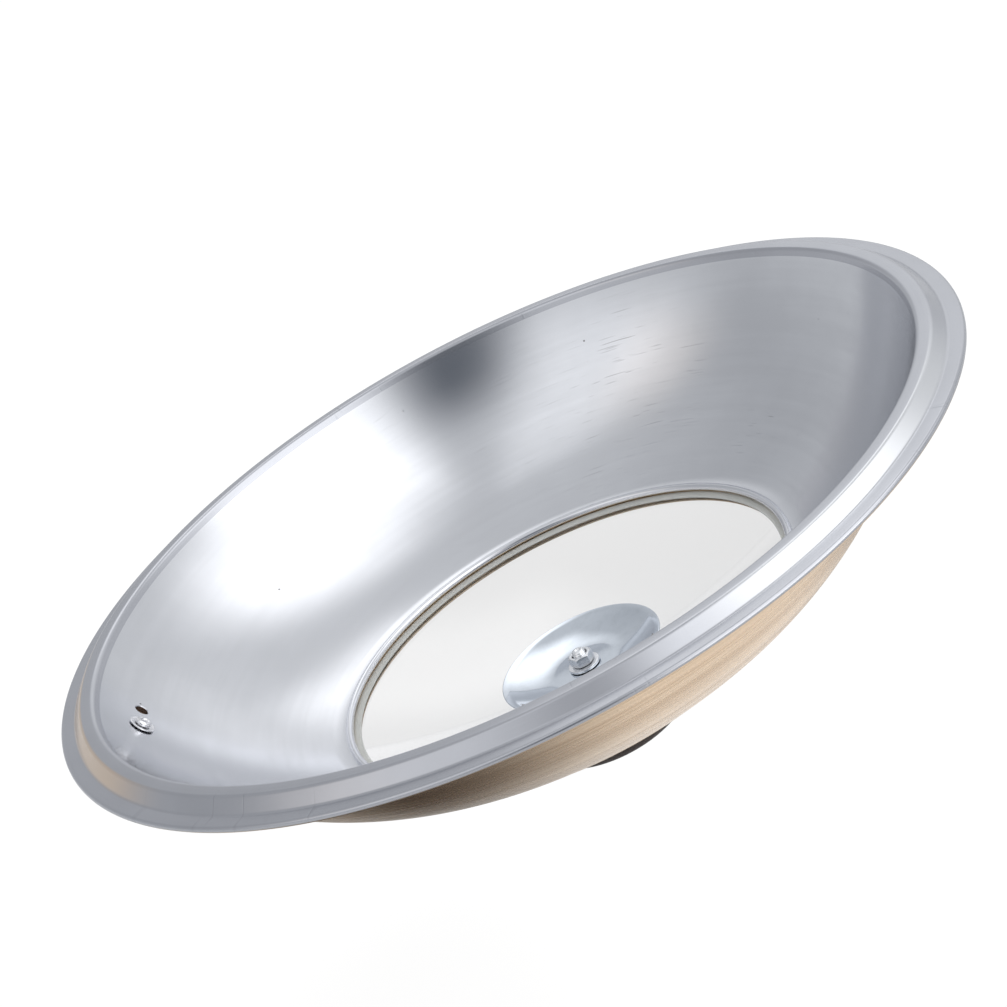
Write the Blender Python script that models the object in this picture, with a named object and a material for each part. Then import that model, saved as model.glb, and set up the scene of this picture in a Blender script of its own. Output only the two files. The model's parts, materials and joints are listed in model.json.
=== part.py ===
"""A domed aluminium pan lid with a glass window, a bolted knob and a swivelling steam vent.

The lid lies hollow side up, resting on the flat end of its knob.
The origin is the centre of that end, +Z runs up the lid's axis, and the vent is at -X.
Drawn lengths are in millimetres; heights in the profiles count from the flange's top face.
"""
from math import acos, atan2, cos, degrees, pi, radians, sin, sqrt, tan

import bmesh
import bpy
from mathutils import Matrix, Vector

MM = 0.001

# Round-off of the circles
BODY_SEGMENTS = 64
KNOB_SEGMENTS = 36
DISH_SEGMENTS = 32
SMALL_SEGMENTS = 20

# The lid's overall size
RIM_RADIUS = 170.0
RIM_HEIGHT = 98.5
SHEET = 1.2
GAP = 0.2

# Rim: a flat flange, a raised lip that drops into the pan, and the slope between them
FLANGE_BEAD_RADIUS = 1.1
PLUG_FOOT_RADIUS = 164.3
PLUG_SLOPE_DEG = 46.0
LIP_HEIGHT = 4.2
LIP_ROUND = 2.0
FLANGE_ROUND = 1.5

# Wall: one arc on the outer face, from just under the lip to the window seat
WALL_TOP = (155.6, 2.5)
WALL_FOOT = (91.2, -58.7)
WALL_BULGE = 8.2
WINDOW_BEAD_CENTRE = (86.0, -56.95)
WINDOW_BEAD_RADIUS = 1.45

# Window: a domed glass disc under a silicone seal, held by a ring on the outside
GLASS_RADIUS = 85.4
GLASS_EDGE_HEIGHT = -59.2
GLASS_CENTRE_HEIGHT = -76.3
GLASS_THICKNESS = 3.0
GLASS_HOLE_RADIUS = 4.5
SEAL_LIP_RADIUS = 82.6
SEAL_LIP_WIDTH = 1.8
SEAL_THICKNESS = 0.4
RING_OUTER_RADIUS = 90.6
RING_LIP_RADIUS = 84.3
RING_LIP_WIDTH = 1.0
RING_SHEET = 0.5
RING_EDGE = 0.2

# Hub: the parts on the knob's bolt, inside the lid
BOLT_RADIUS = 2.5
BOLT_END_HEIGHT = -67.6
BOLT_CLEARANCE = 0.3
DISH_RADIUS = 31.1
DISH_SHEET = 0.8
DISH_LIP_WIDTH = 2.0
DISH_LIP_RISE = 1.2
DISH_LIP_HEIGHT = -70.2
DISH_EDGE = 0.3
DISH_CENTRE_HEIGHT = -74.3
DISH_GASKET_RADIUS = 12.0
DISH_GASKET_LIFT = 0.4
HUB_WASHER_RADIUS = 6.0
HUB_WASHER_THICKNESS = 1.0
NUT_ACROSS_FLATS = 8.0
NUT_HEIGHT = 3.8

# Knob, outside the lid
KNOB_RADIUS = 32.0
KNOB_ROUND = 5.0
KNOB_BASE_RADIUS = 18.0
KNOB_BASE_THICKNESS = 1.5
KNOB_BASE_EDGE = 0.6
KNOB_NECK_RADIUS = 15.5
KNOB_HEAD_OVERLAP = 1.0
KNOB_GASKET_THICKNESS = 1.5
KNOB_RECESS_RADIUS = 11.2
KNOB_RECESS_DEPTH = 7.2
KNOB_GASKET_RADIUS = 16.5
BOLT_HEAD_RADIUS = 4.7
BOLT_HEAD_HEIGHT = 3.0
BOLT_HEAD_EDGE = 0.8
BOLT_TIP = 0.5
BOLT_SLOT_WIDTH = 1.2
BOLT_SLOT_DEPTH = 1.4
KNOB_WASHER_RADIUS = 5.8
KNOB_WASHER_THICKNESS = 0.9
CAP_THICKNESS = 1.9
CAP_INSET = 0.3
CAP_EDGE = 0.5

# Vent: a hole in the wall and a cover that turns on a rivet beside it
VENT_WALL_RADIUS = 146.4
VENT_HOLE_ANGLE_DEG = 174.9
VENT_RIVET_ANGLE_DEG = 179.8
VENT_HOLE_RADIUS = 2.4
RIVET_RADIUS = 1.5
RIVET_HOLE_RADIUS = 1.8
RIVET_RUNNING_GAP = 0.08
RIVET_HEAD_RADIUS = 3.3
RIVET_HEAD_HEIGHT = 1.5
RIVET_TAIL_RADIUS = 2.9
RIVET_TAIL_HEIGHT = 1.0
RIVET_TAIL_TAPER = 1.2
RIVET_TAIL_EDGE = 0.4
BURR_RADIUS = 4.6
BURR_THICKNESS = 0.5
BURR_LIFT = 0.5
COVER_SHEET = 0.8
COVER_RIVET_END_RADIUS = 5.0
COVER_HOLE_END_RADIUS = 6.2
COVER_TAB_WIDTH = 5.0
COVER_TAB_REACH = 2.5
COVER_TAB_RISE = 3.0
COVER_TAB_ROOT = 1.6
SPRING_WASHER_RADIUS = 3.0
SPRING_WASHER_THICKNESS = 0.4


def clear_scene():
    """Empties the scene, so that only this lid is in it."""
    for thing in list(bpy.data.objects):
        bpy.data.objects.remove(thing, do_unlink=True)


# Drawing in the (radius, height) plane

def arc(centre, radius, start_deg, end_deg, steps):
    """Points along a circle, from one angle to another."""
    angles = [radians(start_deg + (end_deg - start_deg) * i / steps) for i in range(steps + 1)]
    return [(centre[0] + radius * cos(a), centre[1] + radius * sin(a)) for a in angles]


def arc_through(start, end, bulge):
    """Centre and radius of the arc that joins two points and bulges down and outwards."""
    chord = Vector(end) - Vector(start)
    half = chord.length / 2
    radius = (half * half + bulge * bulge) / (2 * bulge)
    outward = Vector((-chord.y, chord.x)).normalized()
    if outward.y > 0:
        outward.negate()
    centre = (Vector(start) + Vector(end)) / 2 - outward * (radius - bulge)
    return (centre.x, centre.y), radius


def angle_at_radius(centre, radius, r):
    """The angle, below the horizontal, at which a circle passes distance r from the lid's axis."""
    return -degrees(acos((r - centre[0]) / radius))


WALL_CENTRE, WALL_OUTER = arc_through(WALL_TOP, WALL_FOOT, WALL_BULGE)
WALL_INNER = WALL_OUTER - SHEET

GLASS_SAG = GLASS_EDGE_HEIGHT - GLASS_CENTRE_HEIGHT
GLASS_CURVE = (GLASS_RADIUS ** 2 + GLASS_SAG ** 2) / (2 * GLASS_SAG)


def glass_top(r):
    """Height of the glass's hollow face at a distance from the axis."""
    return GLASS_CENTRE_HEIGHT + GLASS_CURVE - sqrt(GLASS_CURVE ** 2 - r ** 2)


def glass_bottom(r):
    """Height of the glass's outer face at a distance from the axis."""
    outer = GLASS_CURVE + GLASS_THICKNESS
    return GLASS_CENTRE_HEIGHT + GLASS_CURVE - sqrt(outer ** 2 - r ** 2)


def follow(height, start, end, steps, lift=0.0):
    """Points on a curved face between two radii, raised by lift."""
    radii = [start + (end - start) * i / steps for i in range(steps + 1)]
    return [(r, height(r) + lift) for r in radii]


# Making solids

def material(name, colour, roughness, metallic=0.0):
    """A Principled material."""
    made = bpy.data.materials.new(name)
    made.use_nodes = True
    shader = made.node_tree.nodes["Principled BSDF"]
    shader.inputs["Base Color"].default_value = (*colour, 1.0)
    shader.inputs["Roughness"].default_value = roughness
    shader.inputs["Metallic"].default_value = metallic
    made.diffuse_color = (*colour, 1.0)
    return made


def solid(name, bm, finish, sharp_deg=35.0):
    """Turns a bmesh drawn in millimetres into a named object with its finish."""
    bmesh.ops.recalc_face_normals(bm, faces=bm.faces)
    bmesh.ops.scale(bm, vec=(MM, MM, MM), verts=bm.verts)
    mesh = bpy.data.meshes.new(name)
    bm.to_mesh(mesh)
    bm.free()
    mesh.shade_smooth()
    mesh.set_sharp_from_angle(angle=radians(sharp_deg))
    mesh.materials.append(finish)
    made = bpy.data.objects.new(name, mesh)
    bpy.context.scene.collection.objects.link(made)
    return made


def turned(outline, segments, lift=RIM_HEIGHT):
    """A bmesh turned about the Z axis from a closed (radius, height) outline."""
    bm = bmesh.new()
    loop = [bm.verts.new((r, 0.0, z + lift)) for r, z in outline]
    edges = [bm.edges.new((a, b)) for a, b in zip(loop, loop[1:] + loop[:1])]
    bmesh.ops.spin(bm, geom=loop + edges, cent=(0, 0, 0), axis=(0, 0, 1),
                   angle=2 * pi, steps=segments, use_merge=True)
    return bm


def turned_closed(outline, segments, lift=0.0):
    """As turned, for an outline that starts and ends on the axis."""
    bm = bmesh.new()
    chain = [bm.verts.new((r, 0.0, z + lift)) for r, z in outline]
    edges = [bm.edges.new(pair) for pair in zip(chain, chain[1:])]
    bmesh.ops.spin(bm, geom=chain + edges, cent=(0, 0, 0), axis=(0, 0, 1),
                   angle=2 * pi, steps=segments, use_merge=True)
    bmesh.ops.remove_doubles(bm, verts=bm.verts, dist=1e-4)
    return bm


def washer(name, inner, outer, low, high, segments, finish, lift=RIM_HEIGHT):
    """A flat ring with square edges."""
    outline = [(inner, low), (outer, low), (outer, high), (inner, high)]
    return solid(name, turned(outline, segments, lift), finish)


def cut(target, cutter):
    """Takes the cutter's shape out of the target and hides the cutter."""
    cutter.hide_render = True
    cutter.display_type = "WIRE"
    modifier = target.modifiers.new("cut_" + cutter.name, "BOOLEAN")
    modifier.operation = "DIFFERENCE"
    modifier.solver = "EXACT"
    modifier.object = cutter


# The shell

def rim_path(depth):
    """The rim's face at a depth into the sheet, from the flange inwards and down to the wall."""
    slope = radians(PLUG_SLOPE_DEG)
    flange = (PLUG_FOOT_RADIUS + FLANGE_ROUND * tan(slope / 2), FLANGE_ROUND)
    crest = LIP_HEIGHT - LIP_ROUND
    outer = (PLUG_FOOT_RADIUS - (LIP_ROUND + crest * cos(slope)) / sin(slope), crest)
    reach = sqrt((WALL_INNER + LIP_ROUND) ** 2 - (crest - WALL_CENTRE[1]) ** 2)
    inner = (WALL_CENTRE[0] + reach, crest)
    meets_wall = degrees(atan2(crest - WALL_CENTRE[1], reach))
    path = arc(flange, FLANGE_ROUND + depth, 270, 270 - PLUG_SLOPE_DEG, 3)
    path += arc(outer, LIP_ROUND - depth, 90 - PLUG_SLOPE_DEG, 90, 3)
    path += arc(inner, LIP_ROUND - depth, 90, 180 + meets_wall, 3)
    foot = angle_at_radius(WALL_CENTRE, WALL_INNER + depth, WALL_FOOT[0])
    path += arc(WALL_CENTRE, WALL_INNER + depth, meets_wall, foot, 8)[1:]
    return path


def lid_shell(finish):
    """One spun sheet: rolled outer edge, flange, lip, domed wall and the curled edge of the window."""
    roll = FLANGE_BEAD_RADIUS
    under = SHEET - roll
    start = -180 + degrees(atan2(under, sqrt(roll ** 2 - under ** 2)))
    edge = arc((RIM_RADIUS - roll, -roll), roll, start, 0, 4)[:-1]
    edge += arc((RIM_RADIUS - roll, -roll), roll, 0, 90, 3)
    bead = arc(WINDOW_BEAD_CENTRE, WINDOW_BEAD_RADIUS, -20, 270, 7)
    outline = edge + rim_path(0.0) + bead + rim_path(SHEET)[::-1]
    return solid("lid_shell", turned(outline, BODY_SEGMENTS), finish)


# The window

def window_glass(finish):
    """The domed disc, with a hole for the knob's bolt."""
    outline = follow(glass_top, GLASS_HOLE_RADIUS, GLASS_RADIUS, 4)
    outline += follow(glass_bottom, GLASS_RADIUS, GLASS_HOLE_RADIUS, 4)
    return solid("window_glass", turned(outline, BODY_SEGMENTS), finish)


def window_seal(finish):
    """The flat silicone ring between the glass and the shell, with a lip that shows inside."""
    top = WINDOW_BEAD_CENTRE[1] - WINDOW_BEAD_RADIUS - GAP
    step = SEAL_LIP_RADIUS + SEAL_LIP_WIDTH
    outline = follow(glass_top, SEAL_LIP_RADIUS, GLASS_RADIUS, 1, GAP)
    outline += [(GLASS_RADIUS, top), (step, glass_top(step) + GAP + SEAL_THICKNESS)]
    outline += [(SEAL_LIP_RADIUS, glass_top(SEAL_LIP_RADIUS) + GAP + SEAL_THICKNESS)]
    return solid("window_seal", turned(outline, BODY_SEGMENTS), finish)


def window_ring(finish):
    """The outside ring: a seat against the wall, a web round the glass and a lip under it."""
    web = GLASS_RADIUS + GAP
    seat = WALL_FOOT[1] - GAP
    shelf = glass_bottom(GLASS_RADIUS) - GAP
    lip = glass_bottom(RING_LIP_RADIUS) - GAP
    outline = [(web, seat), (web, shelf), (RING_LIP_RADIUS, lip), (RING_LIP_RADIUS, lip - RING_SHEET)]
    outline += [(RING_LIP_RADIUS + RING_LIP_WIDTH, lip - RING_SHEET)]
    outline += [(RING_OUTER_RADIUS - RING_EDGE, seat - 2 * RING_EDGE)]
    outline += [(RING_OUTER_RADIUS, seat - RING_EDGE), (RING_OUTER_RADIUS - RING_EDGE, seat)]
    return solid("window_ring", turned(outline, BODY_SEGMENTS), finish)


# The hub, inside the lid

def dish_face(r):
    """Height of the dish's hollow face, inside its lip."""
    rise = DISH_LIP_HEIGHT - DISH_CENTRE_HEIGHT - DISH_LIP_RISE
    reach = DISH_RADIUS - DISH_LIP_WIDTH
    curve = (reach ** 2 + rise ** 2) / (2 * rise)
    return DISH_CENTRE_HEIGHT + curve - sqrt(curve ** 2 - r ** 2)


def hub_dish(finish):
    """The pressed steel dish that spreads the bolt's pull, with a steeper lip round its edge."""
    hole = BOLT_RADIUS + BOLT_CLEARANCE
    shoulder = DISH_RADIUS - DISH_LIP_WIDTH
    outline = follow(dish_face, hole, shoulder, 4)
    outline += [(DISH_RADIUS - DISH_EDGE, DISH_LIP_HEIGHT), (DISH_RADIUS, DISH_LIP_HEIGHT - DISH_EDGE)]
    outline += [(DISH_RADIUS, DISH_LIP_HEIGHT - DISH_SHEET)]
    outline += follow(dish_face, shoulder, hole, 4, -DISH_SHEET)
    return solid("hub_dish", turned(outline, DISH_SEGMENTS), finish)


def dish_gasket(finish):
    """The silicone washer between the dish and the glass."""
    top = DISH_CENTRE_HEIGHT - DISH_SHEET - GAP
    bore = BOLT_RADIUS + BOLT_CLEARANCE
    outline = [(DISH_GASKET_RADIUS, top), (bore, top)]
    outline += follow(glass_top, bore, DISH_GASKET_RADIUS, 3, DISH_GASKET_LIFT)
    return solid("dish_gasket", turned(outline, SMALL_SEGMENTS), finish)


def hub_washer(finish):
    """The plain washer in the dish."""
    low = dish_face(HUB_WASHER_RADIUS) + GAP
    return washer("hub_washer", BOLT_RADIUS + BOLT_CLEARANCE, HUB_WASHER_RADIUS, low,
                  low + HUB_WASHER_THICKNESS, SMALL_SEGMENTS, finish)


def hub_nut(finish):
    """A hexagon nut with chamfered corners and a round bore."""
    low = dish_face(HUB_WASHER_RADIUS) + 2 * GAP + HUB_WASHER_THICKNESS
    corner = NUT_ACROSS_FLATS / 2 / cos(pi / 6)
    chamfer = (corner - NUT_ACROSS_FLATS / 2) * tan(radians(30))
    bore = BOLT_RADIUS + BOLT_CLEARANCE
    outline = [(bore, 0), (NUT_ACROSS_FLATS / 2, 0), (corner, chamfer)]
    outline += [(corner, NUT_HEIGHT - chamfer), (NUT_ACROSS_FLATS / 2, NUT_HEIGHT), (bore, NUT_HEIGHT)]
    nut = solid("hub_nut", turned(outline, SMALL_SEGMENTS, RIM_HEIGHT + low), finish)
    hexagon = bmesh.new()
    bmesh.ops.create_cone(hexagon, cap_ends=True, segments=6, radius1=corner, radius2=corner,
                          depth=3 * NUT_HEIGHT,
                          matrix=Matrix.Translation((0, 0, RIM_HEIGHT + low + NUT_HEIGHT / 2)))
    guide = solid("nut_hexagon", hexagon, finish)
    cut(nut, guide)
    nut.modifiers[-1].operation = "INTERSECT"
    return nut


# The knob, outside the lid

def knob_base_height():
    """Height of the knob's seat, under the gasket."""
    return glass_bottom(0) - 2 * GAP - KNOB_GASKET_THICKNESS


def knob_gasket(finish):
    """The silicone washer under the knob, with a sleeve that lines the hole in the glass."""
    bore = BOLT_RADIUS + BOLT_CLEARANCE
    sleeve = GLASS_HOLE_RADIUS - GAP
    low = knob_base_height() + GAP
    outline = [(bore, low), (KNOB_GASKET_RADIUS, low)]
    outline += follow(glass_bottom, KNOB_GASKET_RADIUS, sleeve, 3, -GAP)
    outline += [(sleeve, GLASS_CENTRE_HEIGHT), (bore, GLASS_CENTRE_HEIGHT)]
    return solid("knob_gasket", turned(outline, SMALL_SEGMENTS), finish)


def knob_body(finish):
    """A low moulded knob: narrow neck, wide rounded head, and a recess for the bolt's head."""
    base = knob_base_height()
    end = -RIM_HEIGHT
    head = end + 2 * KNOB_ROUND - KNOB_HEAD_OVERLAP
    flat = KNOB_RADIUS - KNOB_ROUND
    scoop = (base - KNOB_BASE_THICKNESS - head) / 2
    recess = end + KNOB_RECESS_DEPTH
    outline = [(BOLT_RADIUS + BOLT_CLEARANCE, base), (KNOB_BASE_RADIUS - KNOB_BASE_EDGE, base)]
    outline += [(KNOB_BASE_RADIUS, base - KNOB_BASE_EDGE)]
    outline += [(KNOB_BASE_RADIUS - KNOB_BASE_EDGE, base - KNOB_BASE_THICKNESS)]
    outline += arc((KNOB_NECK_RADIUS + scoop, head + scoop), scoop, 150, 270, 4)
    outline += arc((flat, end + KNOB_ROUND), KNOB_ROUND, 45, -90, 6)
    outline += [(KNOB_RECESS_RADIUS, end), (KNOB_RECESS_RADIUS, recess)]
    outline += [(BOLT_RADIUS + BOLT_CLEARANCE, recess)]
    return solid("knob_body", turned(outline, KNOB_SEGMENTS), finish)


def knob_cap(finish):
    """The disc pressed into the recess, over the bolt's head."""
    low = -RIM_HEIGHT + CAP_INSET
    radius = KNOB_RECESS_RADIUS - CAP_INSET
    outline = [(0, low), (radius - CAP_EDGE, low), (radius, low + CAP_EDGE)]
    outline += [(radius, low + CAP_THICKNESS), (0, low + CAP_THICKNESS)]
    return solid("knob_cap", turned_closed(outline, SMALL_SEGMENTS, RIM_HEIGHT), finish)


def knob_washer(finish):
    """The plain washer under the bolt's head."""
    high = -RIM_HEIGHT + KNOB_RECESS_DEPTH - GAP
    return washer("knob_washer", BOLT_RADIUS + BOLT_CLEARANCE, KNOB_WASHER_RADIUS,
                  high - KNOB_WASHER_THICKNESS, high, SMALL_SEGMENTS, finish)


def knob_bolt(finish):
    """The slotted bolt that runs from the knob's recess to the nut in the dish."""
    seat = -RIM_HEIGHT + KNOB_RECESS_DEPTH - 2 * GAP - KNOB_WASHER_THICKNESS
    head = seat - BOLT_HEAD_HEIGHT
    outline = [(0, head), (BOLT_HEAD_RADIUS - BOLT_HEAD_EDGE, head)]
    outline += [(BOLT_HEAD_RADIUS, head + BOLT_HEAD_EDGE), (BOLT_HEAD_RADIUS, seat), (BOLT_RADIUS, seat)]
    outline += [(BOLT_RADIUS, BOLT_END_HEIGHT - BOLT_TIP), (BOLT_RADIUS - BOLT_TIP, BOLT_END_HEIGHT)]
    outline += [(0, BOLT_END_HEIGHT)]
    bolt = solid("knob_bolt", turned_closed(outline, SMALL_SEGMENTS, RIM_HEIGHT), finish)
    slot = bmesh.new()
    size = (4 * BOLT_HEAD_RADIUS, BOLT_SLOT_WIDTH, 2 * BOLT_SLOT_DEPTH)
    bmesh.ops.create_cube(slot, size=1.0, matrix=Matrix.Diagonal((*size, 1.0)))
    bmesh.ops.translate(slot, verts=slot.verts, vec=(0, 0, head + RIM_HEIGHT))
    cut(bolt, solid("bolt_slot", slot, finish))
    return bolt


# The vent

def wall_frame(angle_deg):
    """Axes at a point on the wall's outer face: X towards lower angles, Z out of the wall."""
    turn = radians(angle_deg)
    fall = radians(angle_at_radius(WALL_CENTRE, WALL_OUTER, VENT_WALL_RADIUS))
    height = WALL_CENTRE[1] + WALL_OUTER * sin(fall) + RIM_HEIGHT
    outward = Vector((cos(turn) * cos(fall), sin(turn) * cos(fall), sin(fall)))
    along = Vector((sin(turn), -cos(turn), 0.0))
    across = outward.cross(along)
    frame = Matrix((along, across, outward)).transposed().to_4x4()
    frame.translation = Vector((cos(turn), sin(turn), 0.0)) * VENT_WALL_RADIUS
    frame.translation.z = height
    return frame


RIVET_FRAME = wall_frame(VENT_RIVET_ANGLE_DEG)
HOLE_FRAME = wall_frame(VENT_HOLE_ANGLE_DEG)
VENT_SPACING = (HOLE_FRAME.translation - RIVET_FRAME.translation).length


def place(thing, frame):
    """Puts an object drawn about its own origin at a frame that is in millimetres."""
    placed = frame.copy()
    placed.translation = frame.translation * MM
    thing.matrix_world = placed
    return thing


def drill(name, radius, frame, finish):
    """A cylinder that passes through the wall at a frame."""
    bm = bmesh.new()
    bmesh.ops.create_cone(bm, cap_ends=True, segments=SMALL_SEGMENTS, radius1=radius,
                          radius2=radius, depth=8 * SHEET)
    return place(solid(name, bm, finish), frame)


def cover_outline():
    """The cover's outline seen square on: two round ends of different sizes and their tangents."""
    lean = degrees(acos((COVER_RIVET_END_RADIUS - COVER_HOLE_END_RADIUS) / VENT_SPACING))
    points = arc((0, 0), COVER_RIVET_END_RADIUS, lean, 360 - lean, 10)
    points += arc((VENT_SPACING, 0), COVER_HOLE_END_RADIUS, -lean, lean, 10)
    return points


def extruded(outline, low, high):
    """A bmesh plate from a flat outline, between two heights."""
    bm = bmesh.new()
    face = bm.faces.new([bm.verts.new((x, y, low)) for x, y in outline])
    moved = bmesh.ops.extrude_face_region(bm, geom=[face])["geom"]
    top = [v for v in moved if isinstance(v, bmesh.types.BMVert)]
    bmesh.ops.translate(bm, verts=top, vec=(0, 0, high - low))
    return bm


def vent_cover(finish):
    """The flat swivel plate with a turned-up finger tab; its origin is on the rivet's axis."""
    low, high = GAP, GAP + COVER_SHEET
    cover = solid("vent_cover", extruded(cover_outline(), low, high), finish)
    tip = VENT_SPACING + COVER_HOLE_END_RADIUS
    half = COVER_TAB_WIDTH / 2
    side = [(tip - COVER_TAB_ROOT + GAP, low), (tip + COVER_TAB_REACH, low + COVER_TAB_RISE)]
    side += [(tip + COVER_TAB_REACH - COVER_SHEET, high + COVER_TAB_RISE), (tip - COVER_TAB_ROOT, high)]
    tab = bmesh.new()
    face = tab.faces.new([tab.verts.new((x, -half, z)) for x, z in side])
    moved = bmesh.ops.extrude_face_region(tab, geom=[face])["geom"]
    far = [v for v in moved if isinstance(v, bmesh.types.BMVert)]
    bmesh.ops.translate(tab, verts=far, vec=(0, COVER_TAB_WIDTH, 0))
    added = solid("cover_tab", tab, finish)
    cut(cover, added)
    cover.modifiers[-1].operation = "UNION"
    bore = bmesh.new()
    running = RIVET_RADIUS + RIVET_RUNNING_GAP
    bmesh.ops.create_cone(bore, cap_ends=True, segments=SMALL_SEGMENTS, radius1=running,
                          radius2=running, depth=6 * COVER_SHEET)
    hole = solid("cover_bore", bore, finish)
    cut(cover, hole)
    for piece in (cover, added, hole):
        place(piece, RIVET_FRAME)
    return cover


def vent_rivet(finish):
    """The rivet through the wall: domed head outside, clinched tail inside."""
    under_head = 2 * GAP + COVER_SHEET + SPRING_WASHER_THICKNESS + GAP
    tail = -SHEET - BURR_LIFT - BURR_THICKNESS - GAP
    end = tail - RIVET_TAIL_HEIGHT
    outline = [(0, end), (RIVET_TAIL_RADIUS - RIVET_TAIL_TAPER, end)]
    outline += [(RIVET_TAIL_RADIUS, tail - RIVET_TAIL_EDGE), (RIVET_TAIL_RADIUS, tail), (RIVET_RADIUS, tail)]
    outline += [(RIVET_RADIUS, under_head), (RIVET_HEAD_RADIUS, under_head)]
    outline += [(RIVET_HEAD_RADIUS * cos(radians(a)), under_head + RIVET_HEAD_HEIGHT * sin(radians(a)))
                for a in (20, 45, 70)]
    outline += [(0, under_head + RIVET_HEAD_HEIGHT)]
    return place(solid("vent_rivet", turned_closed(outline, SMALL_SEGMENTS), finish), RIVET_FRAME)


def vent_spring_washer(finish):
    """The thin washer that presses the cover to the wall."""
    low = 2 * GAP + COVER_SHEET
    made = washer("vent_spring_washer", RIVET_RADIUS + GAP, SPRING_WASHER_RADIUS, low,
                  low + SPRING_WASHER_THICKNESS, SMALL_SEGMENTS, finish, lift=0.0)
    return place(made, RIVET_FRAME)


def vent_burr(finish):
    """The small flat washer under the rivet's tail, lifted clear of the hollow wall."""
    high = -SHEET - BURR_LIFT
    made = washer("vent_burr", RIVET_RADIUS + GAP, BURR_RADIUS, high - BURR_THICKNESS, high,
                  SMALL_SEGMENTS, finish, lift=0.0)
    return place(made, RIVET_FRAME)


def build():
    """Makes every piece of the lid."""
    clear_scene()
    bare = material("spun_aluminium", (0.80, 0.80, 0.82), 0.25, 1.0)
    gold = material("gold_lacquered_aluminium", (0.78, 0.64, 0.45), 0.35, 1.0)
    cover_gold = material("gold_cover_aluminium", (0.80, 0.66, 0.46), 0.30, 1.0)
    glass = material("tempered_glass", (0.85, 0.90, 0.88), 0.03)
    silicone = material("clear_silicone", (0.62, 0.63, 0.60), 0.45)
    steel = material("polished_steel", (0.80, 0.83, 0.87), 0.08, 1.0)
    zinc = material("zinc_plated_steel", (0.75, 0.77, 0.80), 0.22, 1.0)
    phenolic = material("dark_phenolic", (0.035, 0.022, 0.018), 0.30)
    cap_plastic = material("dark_cap_plastic", (0.03, 0.02, 0.018), 0.35)
    rivet_metal = material("soft_aluminium", (0.82, 0.82, 0.83), 0.30, 1.0)
    shell = lid_shell(bare)
    cut(shell, drill("vent_hole", VENT_HOLE_RADIUS, HOLE_FRAME, bare))
    cut(shell, drill("rivet_hole", RIVET_HOLE_RADIUS, RIVET_FRAME, bare))
    window_glass(glass)
    window_seal(silicone)
    window_ring(gold)
    hub_dish(steel)
    dish_gasket(silicone)
    hub_washer(zinc)
    hub_nut(zinc)
    knob_bolt(zinc)
    knob_gasket(silicone)
    knob_body(phenolic)
    knob_washer(zinc)
    knob_cap(cap_plastic)
    vent_cover(cover_gold)
    vent_rivet(rivet_metal)
    vent_spring_washer(zinc)
    vent_burr(rivet_metal)


build()
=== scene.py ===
import json
from math import acos, atan2, cos, degrees, hypot, pi, radians, sin, sqrt, tan

import bmesh
import bpy
from mathutils import Matrix, Vector


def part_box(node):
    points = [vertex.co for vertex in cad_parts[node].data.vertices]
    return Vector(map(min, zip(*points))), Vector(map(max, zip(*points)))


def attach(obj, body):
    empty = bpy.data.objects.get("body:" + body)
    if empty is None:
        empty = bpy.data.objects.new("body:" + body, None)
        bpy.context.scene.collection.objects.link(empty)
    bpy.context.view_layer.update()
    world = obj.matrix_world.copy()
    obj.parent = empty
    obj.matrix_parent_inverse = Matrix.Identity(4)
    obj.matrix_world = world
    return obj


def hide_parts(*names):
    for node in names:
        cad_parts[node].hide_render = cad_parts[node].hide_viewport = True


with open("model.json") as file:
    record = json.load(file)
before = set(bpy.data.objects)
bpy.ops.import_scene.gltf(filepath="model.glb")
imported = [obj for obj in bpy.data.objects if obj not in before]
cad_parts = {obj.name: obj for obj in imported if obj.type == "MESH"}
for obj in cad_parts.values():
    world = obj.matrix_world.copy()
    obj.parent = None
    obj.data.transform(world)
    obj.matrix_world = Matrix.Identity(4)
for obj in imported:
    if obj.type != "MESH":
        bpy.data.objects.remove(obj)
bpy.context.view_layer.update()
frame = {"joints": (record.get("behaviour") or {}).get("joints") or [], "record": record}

MM = 0.001
TINY = 1e-6      # a length below this counts as none
LID = "lid"
COVER = "vent_cover"
MOUNTS = {mount["name"]: mount for mount in frame["record"]["mounts"]}
SWIVEL = frame["joints"][0]


def limits(node):
    """Outer radius, lowest and highest point of a turned CAD node."""
    low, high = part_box(node)
    return high.x / MM, low.z / MM, high.z / MM


# Shell
RIM_RADIUS, SHELL_FOOT, LIP_TOP = limits("lid_shell")
FLANGE_TOP = MOUNTS["flange_seat"]["pos_m"][2] / MM
SHEET = 1.2
EDGE_ROLL = 1.1
PLUG_FOOT_RADIUS = 164.3
PLUG_SLOPE = radians(46.0)
LIP_ROUND = 2.0
FLANGE_ROUND = 1.5
WALL_TOP = (155.6, FLANGE_TOP + 2.5)
WALL_FOOT = (91.2, FLANGE_TOP - 58.7)
WALL_BULGE = 8.2
WINDOW_BEAD_RADIUS = 1.45
WINDOW_BEAD = (86.0, SHELL_FOOT + WINDOW_BEAD_RADIUS)
VENT_HOLE_RADIUS = 2.4
RIVET_HOLE_RADIUS = 1.8
SHELL_SEGMENTS = 384
RIM_STEPS = 8
GOLD_EDGE_FACES = 9
GOLD_BEAD_FACES = 6

# Window
WINDOW_SEGMENTS = 256
GLASS_RADIUS, _, GLASS_EDGE = limits("window_glass")
GLASS_CENTRE = FLANGE_TOP - 76.3
GLASS_THICKNESS = 3.0
GLASS_HOLE_RADIUS = 4.5
SEAL_LIP_RADIUS = 82.6
RING_RADIUS, _, RING_TOP = limits("window_ring")
RING_LIP_RADIUS = 84.3
RING_SHEET = 0.5
GAP = 0.2

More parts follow.
